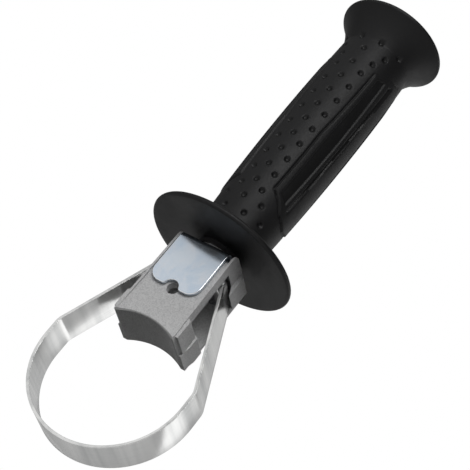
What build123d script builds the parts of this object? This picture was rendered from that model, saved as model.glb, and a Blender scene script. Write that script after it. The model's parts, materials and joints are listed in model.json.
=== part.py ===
from build123d import *
from math import asin, atan2, cos, pi, radians, sin, sqrt, tan
import os

# Side handle of a rotary power tool. Millimetres, +Z along the grip towards its flared end.
# The origin is the centre of the saddle's arc, on the grip's axis. The tool's round neck lies
# along Y through it, and the plated rod clamp faces -Y.

# Clearances and fits
thread_clearance = 0.08      # between the bolt's plain shank and the nut, which stand for the thread
bolt_clearance = 0.45        # round the bolt in the block, the washers and the core
plate_side_gap = 1.05        # between the rod clamp and the rails, when it is in the middle
plate_back_gap = 0.3         # between the rod clamp and the channel's floor
turning_gap = 0.1            # between the turning washer and the rod clamp
stop_gap = 0.3               # left under the rod clamp when it is fully down
cavity_gap = 0.3             # above the pin eyes, at the end of their travel
band_side_gap = 0.3          # between the eyes' ends and the yoke's ears
shoulder_gap = 0.6           # between an ear's round end and the full width of the strip
pin_clearance = 0.03         # between a band pin and what it passes through
neck_clearance = 0.1         # between the bolt's square neck and its hole

# Travel
thread_pitch = 1.25          # M8 coarse
turns = 2.0                  # of the grip, from slack to tight
plate_travel = 0.9           # the rod clamp's share of the thread's advance
band_travel = thread_pitch * turns - plate_travel

# Clamp band: one bent strip of spring steel
band_width = 15.0
band_thickness = 1.25
loop_radius = 33.4           # outer, lower half of the loop
loop_centre_z = 4.9
kink_z = 12.0                # where the loop bends into its straight legs
kink_bend_radius = 6.0       # on the strip's centre line
eye_wrap = 286.0             # degrees that each end is rolled round its pin
eye_width = 11.4             # the strip is cut narrower where it is rolled
pin_radius = 2.0
pin_x = 10.4
pin_z = 57.2
pin_edge = 0.3               # chamfer at a pin's ends

# Draw bolt with a hammer head, and the yoke that it pulls
bolt_radius = 3.97
bolt_length = 50.0           # under the head
bolt_head_height = 8.4
bolt_head_width = 8.5        # along X
bolt_head_corner = 2.4
bolt_head_edge = 1.2         # chamfer round the head's underside
bolt_neck_proud = 1.0        # of the square neck over the yoke's web
bolt_neck_width = 7.9
bolt_point = 1.0             # chamfer at the thread's end
yoke_thickness = 1.6
yoke_web_half = 5.6          # the web's half length along X, between the pin eyes
yoke_web_top = 58.6
yoke_drop = 5.6              # how far the ears hang below the web's underside
ear_wall = 1.0               # metal left round a pin's hole

# Saddle block: one die casting
saddle_radius = 28.0
block_top_z = 68.4
block_half_top = 13.3        # half width at the top
block_half_bottom = 14.0     # half width at the horns
block_front_y = -12.5
block_back_y = 9.5
horn_z = 24.7                # where the casting is cut off below
rail_thickness = 0.88
rail_height = 1.1            # of the rails over the channel's floor
rail_end_height = 0.12       # where the floor has risen, at the horns
ramp_start_z = 38.0
top_floor_z = 64.9
front_top_round = 3.6
back_top_edge = 1.0
saddle_edge_chamfer = 0.8
lug_half_width = 15.9
lug_step = 0.7               # by which the lug's front half lies behind its back half
lug_taper = 1.4              # of the back half, inwards at its lower end
lug_taper_rise = 5.0
lug_top_z = 36.2
lug_bottom_z = 26.3          # of its front half
lug_front_y = -11.6
lug_edge = 1.7
pad_half_width = 15.2        # thicker back half of each cheek
pad_front_y = -0.4
pad_top_drop = 1.2
pad_edge = 0.9
cavity_half_depth = 8.0
cavity_floor_z = 35.3

# Rod clamp: plated steel, bent over the block's top
plate_width = 2 * (block_half_top - rail_thickness - plate_side_gap)
plate_thickness = 1.4
plate_bottom_z = 43.2
plate_bend_radius = 1.0      # inside
plate_bend_ease = 0.6        # of the casting's edge under the bend
plate_corner_radius = 5.2
plate_drift = -0.6           # along X: the slack plate hangs towards one rail
plate_web_corner = 3.0
plate_web_back_y = 8.9
notch_radius = 3.2
notch_shoulder = 1.4         # rounding where the notch meets the plate's edge

# Depth rod passage, along Y
rod_bore_radius = 2.6
rod_bore_z = 43.6

# Grip: a rubber moulding over a rigid core
flange_underside_z = 71.3
flange_thickness = 2.4
flange_radius = 33.0
flange_rim_radius = 1.15
flange_fillet = 2.4
grip_root_radius = 14.6
grip_belly_radius = 16.75
grip_neck_radius = 15.9
grip_root_height = 4.0       # heights are above the flange's upper face
grip_belly_height = 75.0
grip_neck_height = 112.6
flare_radius = 24.15
flare_height = 126.0
flare_sag = 0.85             # how far the flare's curve hangs inside its straight chord
flare_rim = 1.5
flare_lip = 0.55
cap_dome = 1.6
panel_relief = 0.45          # the side panels stand this far out of the barrel
panel_low = 18.4
panel_high = 105.5
panel_corner_low = 27.5
panel_corner_high = 98.5
panel_half_low = 13.7        # half widths along Y
panel_half_middle = 14.2
panel_half_high = 12.8
panel_middle = 60.0
panel_tip_share = 0.55
panel_tip_rise = 2.6
panel_root = 2.0             # how deep the panels reach into the barrel before they are joined
cutter_reach = 1.0           # of the recesses' cutters over the panels
band_low = (-11.8, -8.2, 27.8)        # the wide recess: its two edges along Y, and height
band_middle = (-12.4, -7.8, 62.0)
band_high = (-11.1, -7.9, 99.5)
band_depth = 0.7
groove_low = (-6.8, -5.0, 25.5)
groove_middle = (-6.0, -4.6, 62.0)
groove_high = (-5.8, -3.4, 101.5)
groove_depth = 0.8
recess_slant = 2.0           # of the recesses' ends
dimple_radius = 1.2
dimple_depth = 0.5
dimple_pitch = 8.85
middle_dimples = (0.0, 18.4, 11)      # degrees from the middle of the face, first height, how many
side_dimples = (18.4, 23.8, 9)
dimple_spread = 0.085        # degrees per mm by which the side columns part
dimple_spread_from = 50.0
outer_dimples = (            # degrees, height: at the barrel's two ends
    (28.0, 101.5), (38.0, 107.2), (17.3, 113.0), (54.0, 113.0),
    (33.0, 18.2), (18.0, 11.6), (49.0, 12.0),
)
core_radius = 11.6
core_top_z = 186.0
core_collar_radius = 10.0
core_hollow_radius = 8.2
core_edge = 1.0
core_end_wall = 4.0
washer_radius = 9.5
washer_thickness = 1.5
nut_flats = 13.0
nut_height = 6.5
nut_seat_z = 78.0
nut_cone = 0.8               # how far the nut's corners are turned down
nut_cone_rise = 0.5
nut_washer_radius = 8.0
nut_washer_thickness = 1.6
pocket_clearance = 0.1


def turned(points_and_arcs):
    """A solid of revolution about Z, its seam turned to where nothing is cut."""
    return Rot(0, 0, seam_angle) * revolve(make_face(points_and_arcs), Axis.Z)


def ring(outer, inner, low, high):
    """A plain tube or washer on the Z axis."""
    body = Cylinder(outer, high - low, align=(Align.CENTER, Align.CENTER, Align.MIN))
    hole = Cylinder(inner, high - low, align=(Align.CENTER, Align.CENTER, Align.MIN))
    return Pos(0, 0, low) * (body - hole)


def block_box(x_low, x_high, y_low, y_high, z_low, z_high):
    """A box given by its lowest and highest corners."""
    size = (x_high - x_low, y_high - y_low, z_high - z_low)
    centre = ((x_high + x_low) / 2, (y_high + y_low) / 2, (z_high + z_low) / 2)
    return Pos(*centre) * Box(*size)


def prism_y(points, y_low, y_high):
    """A polygon of (x, z) points carried along Y."""
    face = make_face(Polyline(*[(x, y_high, z) for x, z in points], close=True))
    return extrude(face, amount=y_high - y_low, dir=(0, -1, 0))


def prism_x(points, x_low, x_high):
    """A polygon of (y, z) points carried along X."""
    face = make_face(Polyline(*[(x_low, y, z) for y, z in points], close=True))
    return extrude(face, amount=x_high - x_low, dir=(1, 0, 0))


def along_y(radius, x, z, y_low, y_high):
    """A round bar along Y."""
    bar = Cylinder(radius, y_high - y_low, align=(Align.CENTER, Align.CENTER, Align.MIN))
    return Pos(x, y_high, z) * Rot(90, 0, 0) * bar


def mirrored_x(shape):
    return shape + mirror(shape, Plane.YZ)


# Values that several pieces share
channel_floor_y = block_front_y + rail_height
plate_back_y = channel_floor_y - plate_back_gap
plate_front_y = plate_back_y - plate_thickness
plate_web_low = top_floor_z + plate_travel + stop_gap
plate_web_high = plate_web_low + plate_thickness
washer_low = plate_web_high + turning_gap
core_low = washer_low + washer_thickness
flange_top_z = flange_underside_z + flange_thickness
bolt_hole_radius = bolt_radius + bolt_clearance
yoke_web_low = yoke_web_top - yoke_thickness
bolt_neck_height = yoke_thickness + bolt_neck_proud
eye_outer = pin_radius + pin_clearance + band_thickness
cavity_roof_z = pin_z + eye_outer + band_travel + cavity_gap
ear_inner_y = eye_width / 2 + band_side_gap
ear_outer_y = ear_inner_y + yoke_thickness
block_slope = (block_half_bottom - block_half_top) / (block_top_z - horn_z)
far = 60.0                   # reach of cutters beyond any surface
seam_angle = -64.0           # where the seam of a turned piece lies, clear of panels


def block_half(z):
    """Half width of the casting's front at a height."""
    return block_half_top + block_slope * (block_top_z - z)


def leg_lean():
    """Angle of the band's legs from Z: the line from the kink that touches the eye's outside."""
    half_x = loop_radius - band_thickness / 2
    dx = half_x - pin_x
    dz = pin_z - kink_z
    eye = pin_radius + band_thickness / 2
    return atan2(dx, dz) - asin(eye / sqrt(dx * dx + dz * dz))


def make_clamp_band():
    """The strip: an open loop, two straight legs, and an eye rolled at each end."""
    lean = leg_lean()
    line_radius = loop_radius - band_thickness / 2
    eye = pin_radius + band_thickness / 2 + pin_clearance
    touch = (pin_x + eye * cos(lean), pin_z + eye * sin(lean))
    end = lean + radians(eye_wrap)
    middle = (lean + end) / 2
    trim = kink_bend_radius * tan(lean / 2)
    corner = (line_radius, kink_z)
    low = (corner[0], corner[1] - trim)
    high = (corner[0] - trim * sin(lean), corner[1] + trim * cos(lean))
    bend_centre = (corner[0] - kink_bend_radius, low[1])
    bend_mid = (
        bend_centre[0] + kink_bend_radius * cos(lean / 2),
        bend_centre[1] + kink_bend_radius * sin(lean / 2),
    )

    def half(side):
        def at(point):
            return (side * point[0], point[1])

        eye_end = (pin_x + eye * cos(end), pin_z + eye * sin(end))
        eye_mid = (pin_x + eye * cos(middle), pin_z + eye * sin(middle))
        return [
            ThreePointArc(at(eye_end), at(eye_mid), at(touch)),
            Line(at(touch), at(high)),
            ThreePointArc(at(high), at(bend_mid), at(low)),
            Line(at(low), at((line_radius, loop_centre_z))),
        ]

    loop = ThreePointArc(
        (line_radius, loop_centre_z),
        (0, loop_centre_z - line_radius),
        (-line_radius, loop_centre_z),
    )
    centre_line = Wire(half(1) + [loop] + half(-1)[::-1])
    outline = offset(centre_line, amount=band_thickness / 2, side=Side.BOTH)
    flat = make_face(outline.edges())
    strip = extrude(Plane.XZ * flat, amount=band_width / 2, both=True)
    shoulder_radius = pin_radius + ear_wall + shoulder_gap
    for side in (-1, 1):
        strip -= along_y(shoulder_radius, side * pin_x, pin_z, eye_width / 2, far)
        strip -= along_y(shoulder_radius, side * pin_x, pin_z, -far, -eye_width / 2)
    return strip


def make_band_pin(side):
    """Plain dowel through an eye and both ears of the yoke."""
    length = ear_outer_y
    pin = along_y(pin_radius, side * pin_x, pin_z, -length, length)
    return chamfer(pin.edges().filter_by(GeomType.CIRCLE), pin_edge)


def make_draw_yoke():
    """Pressed steel channel: a web for the bolt between two ears that carry the pins."""
    ear_radius = pin_radius + ear_wall
    bar_low = pin_z - ear_radius
    ear = block_box(-pin_x, pin_x, ear_inner_y, ear_outer_y, bar_low, yoke_web_top)
    ear += block_box(
        -yoke_web_half, yoke_web_half, ear_inner_y, ear_outer_y, yoke_web_low - yoke_drop, bar_low
    )
    for side in (-1, 1):
        ear += along_y(ear_radius, side * pin_x, pin_z, ear_inner_y, ear_outer_y)
    web = block_box(
        -yoke_web_half, yoke_web_half, -ear_outer_y, ear_outer_y, yoke_web_low, yoke_web_top
    )
    yoke = web + ear + mirror(ear, Plane.XZ)
    for side in (-1, 1):
        yoke -= along_y(pin_radius + pin_clearance, side * pin_x, pin_z, -far, far)
    hole = bolt_neck_width + 2 * neck_clearance
    yoke -= block_box(-hole / 2, hole / 2, -hole / 2, hole / 2, 0, far * 2)
    return yoke


def make_draw_bolt():
    """Hammer-head bolt with a square neck, pointing up into the grip."""
    head_top = yoke_web_low
    head_length = ear_inner_y - neck_clearance
    head = block_box(
        -bolt_head_width / 2, bolt_head_width / 2, -head_length, head_length,
        head_top - bolt_head_height, head_top,
    )
    head = fillet(head.edges().filter_by(Axis.Z), bolt_head_corner)
    head = chamfer(head.faces().sort_by(Axis.Z)[0].edges(), bolt_head_edge)
    half = bolt_neck_width / 2
    neck = block_box(-half, half, -half, half, head_top, head_top + bolt_neck_height)
    shank = Pos(0, 0, head_top) * Cylinder(
        bolt_radius, bolt_length, align=(Align.CENTER, Align.CENTER, Align.MIN)
    )
    shank = chamfer(shank.edges().filter_by(GeomType.CIRCLE).sort_by(Axis.Z)[-1], bolt_point)
    return head + neck + shank


def make_rod_clamp_plate():
    """L-shaped plate: a front leg with a half-round notch, and a web that the bolt passes."""
    half = plate_width / 2
    outer = plate_bend_radius + plate_thickness
    side = make_face(
        [
            Polyline(
                (0, plate_front_y, plate_web_high - outer),
                (0, plate_front_y, plate_bottom_z),
                (0, plate_back_y, plate_bottom_z),
                (0, plate_back_y, plate_web_low - plate_bend_radius),
            ),
            ThreePointArc(
                (0, plate_back_y, plate_web_low - plate_bend_radius),
                (
                    0,
                    plate_back_y + plate_bend_radius * (1 - cos(pi / 4)),
                    plate_web_low - plate_bend_radius * (1 - sin(pi / 4)),
                ),
                (0, plate_back_y + plate_bend_radius, plate_web_low),
            ),
            Polyline(
                (0, plate_back_y + plate_bend_radius, plate_web_low),
                (0, plate_web_back_y, plate_web_low),
                (0, plate_web_back_y, plate_web_high),
                (0, plate_front_y + outer, plate_web_high),
            ),
            ThreePointArc(
                (0, plate_front_y + outer, plate_web_high),
                (
                    0,
                    plate_front_y + outer * (1 - cos(pi / 4)),
                    plate_web_high - outer * (1 - sin(pi / 4)),
                ),
                (0, plate_front_y, plate_web_high - outer),
            ),
        ]
    )
    plate = Pos(plate_drift, 0, 0) * extrude(side, amount=half, both=True)
    low = plate.edges().filter_by(Axis.Y).sort_by(Axis.Z)[:2]
    plate = fillet(low, plate_corner_radius)
    back = plate.edges().filter_by(Axis.Z).sort_by(Axis.Y)[-2:]
    plate = fillet(back, plate_web_corner)
    plate -= along_y(notch_radius, plate_drift, plate_bottom_z, -far, 0)
    shoulders = [e for e in plate.edges().filter_by(Axis.Y)
                 if abs(abs(e.center().X - plate_drift) - notch_radius) < 0.01
                 and abs(e.center().Z - plate_bottom_z) < 0.01]
    plate = fillet(shoulders, notch_shoulder)
    plate -= Pos(0, 0, plate_web_low) * Cylinder(bolt_hole_radius, far)
    return plate


def make_saddle_block():
    """The casting: saddle, horns, rails, channel, side windows and the bolt's bore."""
    body = prism_y(
        [
            (-block_half(0), 0),
            (block_half(0), 0),
            (block_half_top, block_top_z),
            (-block_half_top, block_top_z),
        ],
        block_front_y,
        block_back_y,
    )
    top_front = body.edges().filter_by(Axis.X).group_by(Axis.Z)[-1].sort_by(Axis.Y)[0]
    body = fillet(top_front, front_top_round)

    # Cheek pads on the back half, and lugs beside the horns
    pad_top = block_top_z - pad_top_drop
    pad = block_box(0, pad_half_width, pad_front_y, block_back_y, 0, pad_top)
    pad = chamfer(pad.edges().filter_by(Axis.Y).sort_by(Axis.X)[-2:], pad_edge)
    lug_front_half = lug_half_width - lug_step
    lug = block_box(0, lug_front_half, lug_front_y, pad_front_y, lug_bottom_z, lug_top_z)
    lug = chamfer(lug.edges().filter_by(Axis.Y).group_by(Axis.X)[-1].sort_by(Axis.Z)[-1], lug_edge)
    back_lug = prism_y(
        [
            (0, 0),
            (lug_half_width - lug_taper, 0),
            (lug_half_width - lug_taper, horn_z),
            (lug_half_width, horn_z + lug_taper_rise),
            (lug_half_width, lug_top_z - lug_edge),
            (lug_half_width - lug_edge, lug_top_z),
            (0, lug_top_z),
        ],
        pad_front_y,
        block_back_y,
    )
    body += mirrored_x(pad) + mirrored_x(lug) + mirrored_x(back_lug)
    back_edges = body.edges().filter_by(Axis.X).group_by(Axis.Y)[-1].group_by(Axis.Z)[-1]
    body = chamfer(back_edges, back_top_edge)

    # Horns cut off flat, then the saddle's arc
    body -= block_box(-far, far, -far, far, -far, horn_z)
    body -= along_y(saddle_radius, 0, 0, -far, far)
    rim = [e for e in body.edges().filter_by(GeomType.CIRCLE)
           if abs(e.radius - saddle_radius) < 0.01 and abs(e.center().Y) > abs(lug_front_y)]
    body = chamfer(rim, saddle_edge_chamfer)

    # Front channel between the rails, with its floor ramping up towards the saddle
    channel = prism_y(
        [
            (-(block_half(0) - rail_thickness), 0),
            (block_half(0) - rail_thickness, 0),
            (block_half_top - rail_thickness, block_top_z),
            (-(block_half_top - rail_thickness), block_top_z),
        ],
        -far,
        0,
    )
    end_floor_y = block_front_y + rail_end_height
    slope = (channel_floor_y - end_floor_y) / (ramp_start_z - horn_z)
    depth = prism_x(
        [
            (channel_floor_y, far * 2),
            (channel_floor_y, ramp_start_z),
            (end_floor_y - slope * horn_z, 0),
            (-far, 0),
            (-far, far * 2),
        ],
        -far,
        far,
    )
    body -= channel & depth

    # Recess in the top for the plate's web, eased for the plate's bend
    recess_half = block_half_top - rail_thickness
    recess = block_box(-recess_half, recess_half, -far, far, top_floor_z, far * 2)
    ease = plate_bend_radius + plate_bend_ease
    bend_ease = prism_x(
        [
            (-far, top_floor_z),
            (channel_floor_y + ease, top_floor_z),
            (channel_floor_y, top_floor_z - ease),
            (-far, top_floor_z - ease),
        ],
        -recess_half,
        recess_half,
    )
    body -= recess
    body -= bend_ease

    # Cavity through the sides for the yoke and the band's legs. Its roof slopes beside the legs
    # and clears them when they are drawn right up.
    lean = leg_lean()
    reach = eye_outer + cavity_gap
    beside = (pin_x + reach * cos(lean), pin_z + band_travel + reach * sin(lean))
    roof_x = beside[0] - (cavity_roof_z - beside[1]) * tan(lean)
    end_z = beside[1] - (far - beside[0]) / tan(lean)
    cavity = prism_y(
        [(-roof_x, cavity_roof_z), (roof_x, cavity_roof_z), (far, end_z), (-far, end_z)],
        -cavity_half_depth,
        cavity_half_depth,
    )
    body -= cavity & block_box(-far, far, -far, far, cavity_floor_z, far * 2)

    # Bolt bore and depth rod passage
    body -= Pos(0, 0, top_floor_z) * Cylinder(bolt_hole_radius, far / 2)
    body -= along_y(rod_bore_radius, 0, rod_bore_z, -far, far)
    return body


def make_thrust_washer():
    """Flat washer that turns with the grip and presses the rod clamp's web."""
    return ring(washer_radius, bolt_hole_radius, washer_low, core_low)


def make_nut_washer():
    return ring(nut_washer_radius - pocket_clearance, bolt_hole_radius,
                nut_seat_z - nut_washer_thickness, nut_seat_z)


def hexagon(flats, low, high):
    """A hexagonal bar on Z, measured across its flats."""
    shape = RegularPolygon(flats / 2, 6, major_radius=False)
    return Pos(0, 0, low) * extrude(shape, amount=high - low)


def make_core_nut():
    """Hexagon nut held against turning in the core's pocket."""
    nut = hexagon(nut_flats, nut_seat_z, nut_seat_z + nut_height)
    corner_radius = nut_flats / sqrt(3)
    nut_top_z = nut_seat_z + nut_height
    limit = turned(Polyline(
        (0, 0, nut_seat_z),
        (corner_radius - nut_cone, 0, nut_seat_z),
        (corner_radius, 0, nut_seat_z + nut_cone_rise),
        (corner_radius, 0, nut_top_z - nut_cone_rise),
        (corner_radius - nut_cone, 0, nut_top_z),
        (0, 0, nut_top_z),
        close=True,
    ))
    nut &= limit
    return nut - Pos(0, 0, nut_seat_z) * Cylinder(bolt_radius + thread_clearance, far)


def core_envelope():
    """The core's outside, as one solid without its bores."""
    return turned(Polyline(
        (0, 0, core_low),
        (core_collar_radius, 0, core_low),
        (core_collar_radius, 0, flange_top_z),
        (core_radius, 0, flange_top_z + core_edge),
        (core_radius, 0, core_top_z - core_edge),
        (core_radius - core_edge, 0, core_top_z),
        (0, 0, core_top_z),
        close=True,
    ))


def make_grip_core():
    """Rigid tube inside the rubber, with a thrust collar, a washer seat and the nut's pocket."""
    core = core_envelope()
    core -= round_bore(bolt_hole_radius, core_low, nut_seat_z)
    core -= round_bore(nut_washer_radius, nut_seat_z - nut_washer_thickness, nut_seat_z)
    core -= hexagon(nut_flats + 2 * pocket_clearance, nut_seat_z, nut_seat_z + nut_height)
    core -= round_bore(core_hollow_radius, nut_seat_z + nut_height, core_top_z - core_end_wall)
    return core


def round_bore(radius, low, high):
    """A round cutter on Z."""
    return Pos(0, 0, low) * Cylinder(radius, high - low, align=(Align.CENTER, Align.CENTER, Align.MIN))


def barrel_outline(grown):
    """Half section of the grip's barrel, grown by an amount, from flange to flare."""
    z = flange_top_z
    foot = (grip_root_radius + grown, 0, z)
    root = (grip_root_radius + grown, 0, z + grip_root_height)
    belly = (grip_belly_radius + grown, 0, z + grip_belly_height)
    neck = (grip_neck_radius + grown, 0, z + grip_neck_height)
    return [
        Polyline((0, 0, z), foot, root),
        ThreePointArc(root, belly, neck),
        Polyline(neck, (0, 0, neck[2]), (0, 0, z)),
    ]


def barrel(grown):
    return turned(barrel_outline(grown))


def panel_points():
    """Outline of a side panel seen along X, as (y, z)."""
    z = flange_top_z
    half = [
        (0, z + panel_low),
        (panel_half_low * panel_tip_share, z + panel_low + panel_tip_rise),
        (panel_half_low, z + panel_corner_low),
        (panel_half_middle, z + panel_middle),
        (panel_half_high, z + panel_corner_high),
        (panel_half_high * panel_tip_share, z + panel_high - panel_tip_rise),
        (0, z + panel_high),
    ]
    return half + [(-y, z) for y, z in half[-2:0:-1]]


def side_cut(points, depth):
    """What a recess of this outline takes out of the barrel's +X side."""
    shell = barrel(panel_relief + cutter_reach) - barrel(panel_relief - depth)
    return prism_x(points, 0, far) & shell


def long_recess(low, middle, high):
    """Outline of a long slot: (y, y, height) at its lower end, its middle and its upper end."""
    z = flange_top_z
    return [
        (low[0], z + low[2]),
        (low[1], z + low[2] - recess_slant),
        (middle[1], z + middle[2]),
        (high[1], z + high[2]),
        (high[0], z + high[2] - recess_slant),
        (middle[0], z + middle[2]),
    ]


def barrel_radius(height):
    """Radius of the barrel's bare surface at a height over the flange."""
    low, mid, high = grip_root_height, grip_belly_height, grip_neck_height
    height = min(height, high)
    share_mid = (height - low) * (high - height) / ((mid - low) * (high - mid))
    share_high = (height - low) * (height - mid) / ((high - low) * (high - mid))
    bulge = grip_belly_radius - grip_root_radius
    return grip_root_radius + share_mid * bulge + share_high * (grip_neck_radius - grip_root_radius)


def dimple_places():
    """Angle from the middle of the front face and height of each dimple in one quarter."""
    places = []
    for angle, first, count in (middle_dimples, side_dimples):
        for step in range(count):
            height = first + dimple_pitch * step
            spread = dimple_spread * max(0.0, height - dimple_spread_from)
            places.append((angle + spread if angle else angle, height))
    return places + list(outer_dimples)


def dimple_cutters():
    """Balls that press the round dimples into the front and back of the barrel."""
    ball_radius = (dimple_radius ** 2 + dimple_depth ** 2) / (2 * dimple_depth)
    balls = []
    for angle, height in dimple_places():
        reach = barrel_radius(height) + ball_radius - dimple_depth
        x, y = reach * sin(radians(angle)), reach * cos(radians(angle))
        for side_x in ((-x, x) if angle else (0,)):
            for side_y in (-y, y):
                balls.append(Pos(side_x, side_y, flange_top_z + height) * Sphere(ball_radius))
    return balls


def sleeve_profile():
    """Half section of the moulding, from the flange's underside to the domed end."""
    z0, z1, rim = flange_underside_z, flange_top_z, flange_rim_radius
    neck_z = z1 + grip_neck_height
    lip = (flare_radius - flare_lip, 0, z1 + flare_height - flare_lip)
    edge = (flare_radius, 0, z1 + flare_height + flare_rim / 2)
    top = (flare_radius - flare_lip, 0, z1 + flare_height + flare_rim)
    chord = (lip[0] - grip_neck_radius, lip[2] - neck_z)
    chord_length = sqrt(chord[0] ** 2 + chord[1] ** 2)
    flare_mid = (
        (lip[0] + grip_neck_radius) / 2 - flare_sag * chord[1] / chord_length,
        0,
        (lip[2] + neck_z) / 2 + flare_sag * chord[0] / chord_length,
    )
    crown = (0, 0, top[2] + cap_dome)
    dome_radius = (top[0] ** 2 + cap_dome ** 2) / (2 * cap_dome)
    half_angle = asin(top[0] / dome_radius) / 2
    dome_mid = (dome_radius * sin(half_angle), 0, crown[2] - dome_radius * (1 - cos(half_angle)))
    root = (grip_root_radius, 0, z1 + grip_root_height)
    return [
        Line((0, 0, z0), (flange_radius - rim, 0, z0)),
        ThreePointArc((flange_radius - rim, 0, z0), (flange_radius, 0, (z0 + z1) / 2),
                      (flange_radius - rim, 0, z1)),
        Polyline((flange_radius - rim, 0, z1), (grip_root_radius, 0, z1), root),
        ThreePointArc(root, (grip_belly_radius, 0, z1 + grip_belly_height),
                      (grip_neck_radius, 0, neck_z)),
        ThreePointArc((grip_neck_radius, 0, neck_z), flare_mid, lip),
        ThreePointArc(lip, edge, top),
        ThreePointArc(top, dome_mid, crown),
        Line(crown, (0, 0, z0)),
    ]


def make_grip_sleeve():
    """The moulding: guard flange, barrel with side panels, and flared end, over the core."""
    sleeve = turned(sleeve_profile())
    root = [e for e in sleeve.edges().filter_by(GeomType.CIRCLE)
            if abs(e.radius - grip_root_radius) < 0.01 and abs(e.center().Z - flange_top_z) < 0.01]
    sleeve = fillet(root, flange_fillet)
    sleeve -= core_envelope()

    skin = barrel(panel_relief) - barrel(-panel_root)
    panel = prism_x(panel_points(), 0, far) & skin
    sleeve += panel
    sleeve += mirror(panel, Plane.YZ)
    band = (long_recess(band_low, band_middle, band_high), band_depth)
    groove = (long_recess(groove_low, groove_middle, groove_high), groove_depth)
    for outline, depth in (band, groove):
        for sign in (-1, 1):
            piece = side_cut([(sign * y, z) for y, z in outline], depth)
            sleeve -= piece
            sleeve -= mirror(piece, Plane.YZ)
    return sleeve - dimple_cutters()


def main():
    os.makedirs("parts", exist_ok=True)
    pieces = {
        "saddle_block": make_saddle_block(),
        "rod_clamp_plate": make_rod_clamp_plate(),
        "clamp_band": make_clamp_band(),
        "band_pin_left": make_band_pin(-1),
        "band_pin_right": make_band_pin(1),
        "draw_yoke": make_draw_yoke(),
        "draw_bolt": make_draw_bolt(),
        "thrust_washer": make_thrust_washer(),
        "nut_washer": make_nut_washer(),
        "core_nut": make_core_nut(),
        "grip_core": make_grip_core(),
        "grip_sleeve": make_grip_sleeve(),
    }
    for name, shape in pieces.items():
        export_step(shape, "parts/" + name + ".step")
        print(name, round(shape.volume, 1), "mm3", len(shape.solids()), "solid")


main()
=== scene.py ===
import json
from math import asin, atan2, copysign, cos, radians, sin, sqrt, tan, tau
import bpy
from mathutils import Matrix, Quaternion, Vector

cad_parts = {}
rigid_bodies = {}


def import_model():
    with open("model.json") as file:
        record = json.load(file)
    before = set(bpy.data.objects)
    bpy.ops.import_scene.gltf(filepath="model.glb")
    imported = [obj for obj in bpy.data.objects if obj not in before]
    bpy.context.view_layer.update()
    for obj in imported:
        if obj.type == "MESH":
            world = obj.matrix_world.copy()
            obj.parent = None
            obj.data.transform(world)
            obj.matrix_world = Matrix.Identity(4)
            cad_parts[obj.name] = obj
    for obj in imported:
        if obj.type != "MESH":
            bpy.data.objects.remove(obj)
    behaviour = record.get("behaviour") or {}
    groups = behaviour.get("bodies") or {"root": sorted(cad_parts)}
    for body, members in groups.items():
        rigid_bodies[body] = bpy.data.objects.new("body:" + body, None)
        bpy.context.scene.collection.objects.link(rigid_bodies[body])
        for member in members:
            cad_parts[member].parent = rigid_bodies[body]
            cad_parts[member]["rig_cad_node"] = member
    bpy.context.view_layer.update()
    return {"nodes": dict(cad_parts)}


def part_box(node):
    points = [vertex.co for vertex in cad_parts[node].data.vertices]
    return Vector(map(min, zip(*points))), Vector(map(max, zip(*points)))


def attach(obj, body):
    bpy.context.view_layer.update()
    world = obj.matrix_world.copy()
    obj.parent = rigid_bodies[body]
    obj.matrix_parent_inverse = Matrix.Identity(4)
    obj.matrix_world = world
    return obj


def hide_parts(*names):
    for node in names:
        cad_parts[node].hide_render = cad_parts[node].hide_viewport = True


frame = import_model()
nodes = frame["nodes"]
mm = 0.001
weldDistance = 0.002 * mm     # points closer than this are one point
print("frame loaded,", len(nodes), "solids")


# Selecting and editing, as by hand

def onlyActive(piece):
    bpy.ops.object.select_all(action="DESELECT")
    piece.select_set(True)
    bpy.context.view_layer.objects.active = piece


def editMode(piece):
    onlyActive(piece)
    bpy.ops.object.mode_set(mode="EDIT")
    bpy.ops.mesh.select_mode(type="VERT")


def objectMode():
    bpy.ops.object.mode_set(mode="OBJECT")


def firstPoint(name, place):
    bpy.ops.object.select_all(action="DESELECT")
    bpy.ops.mesh.primitive_plane_add(size=mm, location=(0, 0, 0))
    piece = bpy.context.object
    piece.name = name
    editMode(piece)
    bpy.ops.mesh.select_all(action="SELECT")
    bpy.ops.mesh.merge(type="CENTER")
    bpy.ops.transform.translate(value=place)
    return piece


def growTo(start, end):
    bpy.ops.mesh.extrude_region_move(TRANSFORM_OT_translate={"value": Vector(end) - Vector(start)})


def turnPoint(centre, axis, angle, steps):
    bpy.ops.mesh.spin(steps=steps, angle=-angle, center=centre, axis=axis)     # spin counts clockwise


def applyModifier(piece, kind, **settings):
    onlyActive(piece)
    modifier = piece.modifiers.new(kind.title(), kind)
    for key, value in settings.items():
        setattr(modifier, key, value)
    bpy.ops.object.modifier_apply(modifier=modifier.name)


def smoothByAngle(piece, angle):
    onlyActive(piece)
    bpy.ops.object.shade_smooth_by_angle(angle=radians(angle))


def dress(piece, material, slotName, body, *replaced):
    piece.data.materials.clear()
    piece.data.materials.append(material)
    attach(piece, body)
    if replaced:
        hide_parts(*replaced)


# Material building

def addNode(tree, kind, settings=None, **inputs):
    node = tree.nodes.new(kind)
    for key, value in (settings or {}).items():
        setattr(node, key, value)
    for key, value in inputs.items():
        plug = node.inputs[key.replace("_", " ")]
        if isinstance(value, bpy.types.NodeSocket):
            tree.links.new(value, plug)
        else:
            plug.default_value = value
    return node


def calc(tree, operation, first, second, clamp=False):
    node = tree.nodes.new("ShaderNodeMath")
    node.operation = operation
    node.use_clamp = clamp
    for plug, value in zip(node.inputs, (first, second)):
        if isinstance(value, bpy.types.NodeSocket):
            tree.links.new(value, plug)
        else:
            plug.default_value = value
    return node.outputs[0]


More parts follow.
